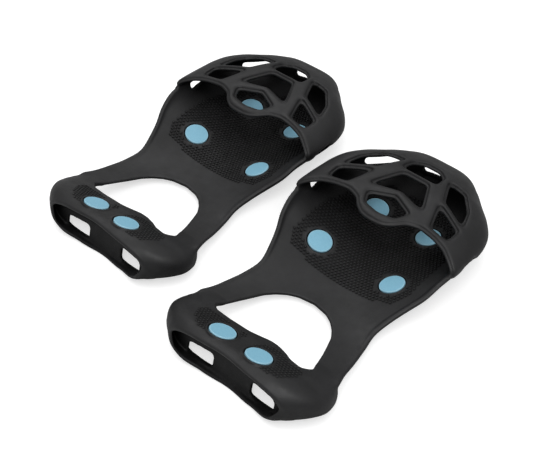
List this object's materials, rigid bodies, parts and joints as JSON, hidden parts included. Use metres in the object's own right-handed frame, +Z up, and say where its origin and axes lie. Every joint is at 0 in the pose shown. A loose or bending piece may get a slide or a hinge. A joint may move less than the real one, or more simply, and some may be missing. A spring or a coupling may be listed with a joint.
{
  "type": "shoe ice cleats",
  "caption": "Pull-on rubber ice cleats for shoes: studded forefoot with a net toe web, open arch, studded heel bar and a fold-back heel strap.",
  "frame": {"origin": "on the ground, in the middle of the pair's footprint", "axes": "+X across the pair from the left cleat to the right cleat, +Y from heel to toe, +Z up from the ground"},
  "size_m": [0.2828, 0.2644, 0.0424],
  "materials": {
    "black_rubber": "matte moulded",
    "blue_plastic": "fine grained",
    "zinc_steel": "zinc plated",
    "carbide": "sintered grey"
  },
  "bodies": {
    "left_forefoot": {"left_forefoot_skin": "black_rubber", "left_forefoot_stud_discs": "blue_plastic", "left_forefoot_stud_pins": "zinc_steel", "left_forefoot_carbide_tips": "carbide", "left_forefoot_stud_washers": "zinc_steel"},
    "left_heel": {"left_heel_yoke": "black_rubber", "left_heel_stud_discs": "blue_plastic", "left_heel_stud_pins": "zinc_steel", "left_heel_carbide_tips": "carbide", "left_heel_stud_washers": "zinc_steel"},
    "left_strap": {"left_heel_strap": "black_rubber"},
    "right_forefoot": {"right_forefoot_skin": "black_rubber", "right_forefoot_stud_discs": "blue_plastic", "right_forefoot_stud_pins": "zinc_steel", "right_forefoot_carbide_tips": "carbide", "right_forefoot_stud_washers": "zinc_steel"},
    "right_heel": {"right_heel_yoke": "black_rubber", "right_heel_stud_discs": "blue_plastic", "right_heel_stud_pins": "zinc_steel", "right_heel_carbide_tips": "carbide", "right_heel_stud_washers": "zinc_steel"},
    "right_strap": {"right_heel_strap": "black_rubber"}
  },
  "joints": [
    {"name": "left_arch_fold", "type": "hinge", "parent": "left_forefoot", "child": "left_heel", "pos_m": [-0.073, -0.00425, 0.0043], "axis": [-1, 0, 0], "range_deg": [-25, 70], "stiffness_Nm_per_rad": 0.05},
    {"name": "left_heel_strap_flip", "type": "hinge", "parent": "left_heel", "child": "left_strap", "pos_m": [-0.073, -0.09625, 0.033], "axis": [-1, 0, 0], "range_deg": [0, 150], "stiffness_Nm_per_rad": 0.01},
    {"name": "right_arch_fold", "type": "hinge", "parent": "right_forefoot", "child": "right_heel", "pos_m": [0.073, -0.03125, 0.0043], "axis": [-1, 0, 0], "range_deg": [-25, 70], "stiffness_Nm_per_rad": 0.05},
    {"name": "right_heel_strap_flip", "type": "hinge", "parent": "right_heel", "child": "right_strap", "pos_m": [0.073, -0.12325, 0.033], "axis": [-1, 0, 0], "range_deg": [0, 150], "stiffness_Nm_per_rad": 0.01},
    {"name": "right_cleat_lift", "type": "slide", "parent": "left_forefoot", "child": "right_forefoot", "axis": [0, 0, 1], "range_m": [0, 0.12]}
  ]
}
